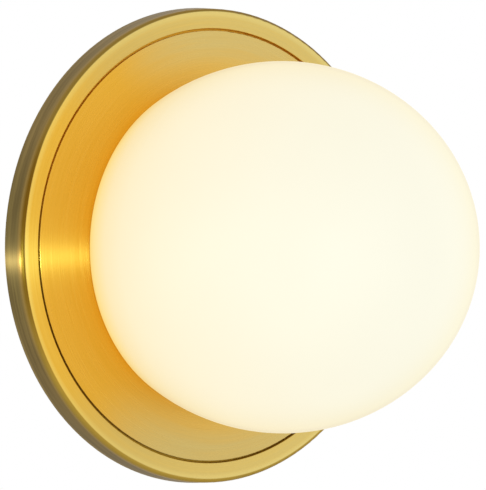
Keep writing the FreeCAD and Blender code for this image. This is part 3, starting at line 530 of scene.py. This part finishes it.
def dress_all():
    """A material for every node."""
    even = (1, 1, 1)
    dress(pan_brass(), "back_pan")
    dress(disc_brass(), "face_disc")
    dress(opal_glass(), "glass_shade")
    dress(clear_glass(), "lamp_envelope")
    dress(galvanised_steel(), "wall_bracket", "holder_bracket")
    dress(striped_insulation(), "earth_lead")
    dress(lit_chip(), "lamp_chips")
    dress(surface("zinc_plate", (0.55, 0.56, 0.58), (0.70, 0.69, 0.64), even, 400, (0.2, 0.36), 1.0),
          "face_disc_nuts", "carrier_screws", "bracket_nuts", "fixing_screws", "fixing_washers",
          "holder_bracket_screws", "lampholder_screws", "terminal_screws", "terminal_fixing_screws",
          "earth_screw", "earth_nut")
    dress(surface("powder_coat", (0.80, 0.80, 0.78), (0.84, 0.84, 0.82), even, 1600, (0.38, 0.5),
                  bump=0.25, detail=2.0), "carrier_dish")
    dress(surface("spring_steel", (0.46, 0.45, 0.43), (0.62, 0.60, 0.56), (900, 60, 900), 1.0, (0.2, 0.34),
                  1.0), "shade_springs")
    dress(surface("aluminium", (0.70, 0.71, 0.72), (0.80, 0.80, 0.81), even, 500, (0.3, 0.45), 1.0),
          "spring_rivets")
    dress(surface("silicone", (0.72, 0.71, 0.68), (0.80, 0.79, 0.76), even, 300, (0.5, 0.62),
                  Subsurface_Weight=0.3, Subsurface_Scale=0.001), "shade_gasket")
    dress(surface("black_nylon", (0.018, 0.018, 0.019), (0.03, 0.03, 0.031), even, 900, (0.42, 0.58),
                  bump=0.2), "cable_bush")
    dress(surface("black_rubber", (0.012, 0.012, 0.012), (0.022, 0.021, 0.02), even, 1200, (0.6, 0.78),
                  bump=0.2), "lead_grommet")
    dress(surface("ceramic", (0.84, 0.82, 0.76), (0.88, 0.87, 0.82), even, 250, (0.12, 0.22),
                  bump=0.06, bump_depth=0.0001, Coat_Weight=0.6, Coat_Roughness=0.08), "lampholder_body")
    dress(surface("contact_brass", (0.66, 0.48, 0.18), (0.76, 0.58, 0.26), even, 700, (0.22, 0.36), 1.0),
          "lampholder_contacts", "terminal_inserts")
    dress(surface("white_plastic", (0.78, 0.78, 0.75), (0.83, 0.83, 0.80), even, 800, (0.3, 0.42),
                  bump=0.12), "lamp_base")
    dress(surface("nickel_wire", (0.62, 0.60, 0.56), (0.74, 0.72, 0.68), (900, 120, 900), 1.0, (0.12, 0.25),
                  1.0), "lamp_pins")
    dress(surface("solder_mask", (0.76, 0.78, 0.74), (0.84, 0.85, 0.82), (300, 60, 300), 6.0, (0.3, 0.42)),
          "lamp_board")
    dress(surface("natural_nylon", (0.72, 0.70, 0.62), (0.80, 0.78, 0.71), even, 400, (0.34, 0.48),
                  bump=0.12, Subsurface_Weight=0.2, Subsurface_Scale=0.002), "terminal_block")
    dress(surface("brown_insulation", (0.09, 0.035, 0.015), (0.13, 0.052, 0.022), even, 700, (0.32, 0.5)),
          "live_lead")
    dress(surface("blue_insulation", (0.012, 0.07, 0.30), (0.02, 0.10, 0.38), even, 700, (0.32, 0.5)),
          "neutral_lead")
    dress(surface("tinned_copper", (0.66, 0.64, 0.60), (0.78, 0.77, 0.74), even, 600, (0.22, 0.36), 1.0),
          "earth_lug")


# ---- Stage, light and camera ----
def seen_directly(nodes, links):
    """1 for what the camera sees, straight or in metal and glass, and 0 for light."""
    path = nodes.new("ShaderNodeLightPath")
    first = nodes.new("ShaderNodeMath")
    first.operation = "MAXIMUM"
    links.new(path.outputs["Is Camera Ray"], first.inputs[0])
    links.new(path.outputs["Is Glossy Ray"], first.inputs[1])
    second = nodes.new("ShaderNodeMath")
    second.operation = "MAXIMUM"
    links.new(first.outputs[0], second.inputs[0])
    links.new(path.outputs["Is Transmission Ray"], second.inputs[1])
    return second.outputs[0]


def build_floor():
    """Pale round floor below the light, out of the photograph's view, that keeps the light's shadow."""
    bpy.ops.mesh.primitive_circle_add(vertices=128, radius=FLOOR_RADIUS, fill_type="NGON",
                                      location=(0, 0, FLOOR_Z))
    floor = bpy.context.object
    floor.name = "floor"
    material, shader = new_material("floor")
    shader.inputs["Base Color"].default_value = FLOOR_COLOUR
    shader.inputs["Roughness"].default_value = FLOOR_ROUGHNESS
    tree = Tree(material)
    lit = tree.nodes.new("ShaderNodeEmission")
    lit.inputs["Color"].default_value = WHITE
    blend = tree.nodes.new("ShaderNodeMixShader")
    white_share = tree.math("MULTIPLY", seen_directly(tree.nodes, tree.links), FLOOR_WHITE_SHARE)
    tree.links.new(white_share, blend.inputs[0])
    tree.links.new(shader.outputs[0], blend.inputs[1])
    tree.links.new(lit.outputs[0], blend.inputs[2])
    output = [node for node in tree.nodes if node.type == "OUTPUT_MATERIAL"][0]
    tree.links.new(blend.outputs[0], output.inputs["Surface"])
    floor.data.materials.append(material)


def build_world():
    """White to the camera and in reflections, and softer as light."""
    world = bpy.data.worlds.new("studio")
    bpy.context.scene.world = world
    world.use_nodes = True
    nodes = world.node_tree.nodes
    links = world.node_tree.links
    nodes.clear()
    output = nodes.new("ShaderNodeOutputWorld")
    light = nodes.new("ShaderNodeBackground")
    light.inputs["Color"].default_value = WORLD_COLOUR
    light.inputs["Strength"].default_value = WORLD_LEVEL
    seen = nodes.new("ShaderNodeBackground")
    seen.inputs["Color"].default_value = WHITE
    seen.inputs["Strength"].default_value = 1.0
    mix = nodes.new("ShaderNodeMixShader")
    links.new(seen_directly(nodes, links), mix.inputs[0])
    links.new(light.outputs[0], mix.inputs[1])
    links.new(seen.outputs[0], mix.inputs[2])
    links.new(mix.outputs[0], output.inputs["Surface"])


def toward(azimuth, elevation):
    """Direction from the plate's centre to a place in the room. Azimuth 0 is straight ahead of the plate."""
    a = math.radians(azimuth)
    e = math.radians(elevation)
    return Vector((math.sin(a) * math.cos(e), -math.cos(a) * math.cos(e), math.sin(e)))


def add_lamp(name, azimuth, elevation, distance, side, watts, colour):
    """Square soft lamp aimed at the plate's centre."""
    data = bpy.data.lights.new(name, "AREA")
    data.size = side
    data.energy = watts
    data.color = colour
    lamp = bpy.data.objects.new(name, data)
    bpy.context.scene.collection.objects.link(lamp)
    lamp.location = toward(azimuth, elevation) * distance
    lamp.rotation_euler = toward(azimuth, elevation).to_track_quat("Z", "Y").to_euler()


def build_camera():
    """The photograph's viewpoint."""
    data = bpy.data.cameras.new("camera")
    data.sensor_width = SENSOR_MILLIMETRES
    data.lens = FOCAL_PIXELS / PHOTO_LONG_SIDE * SENSOR_MILLIMETRES
    data.shift_x = SHIFT_RIGHT_PIXELS / PHOTO_LONG_SIDE
    data.shift_y = SHIFT_UP_PIXELS / PHOTO_LONG_SIDE
    data.clip_start = NEAREST_SEEN
    camera = bpy.data.objects.new("camera", data)
    bpy.context.scene.collection.objects.link(camera)
    direction = toward(CAMERA_AZIMUTH, CAMERA_ELEVATION)
    camera.location = direction * CAMERA_DISTANCE
    camera.rotation_euler = direction.to_track_quat("Z", "Y").to_euler()
    bpy.context.scene.camera = camera


bpy.context.scene.view_settings.view_transform = "Standard"
dress_all()
build_floor()
build_world()
for lamp in LAMPS:
    add_lamp(*lamp)
build_camera()
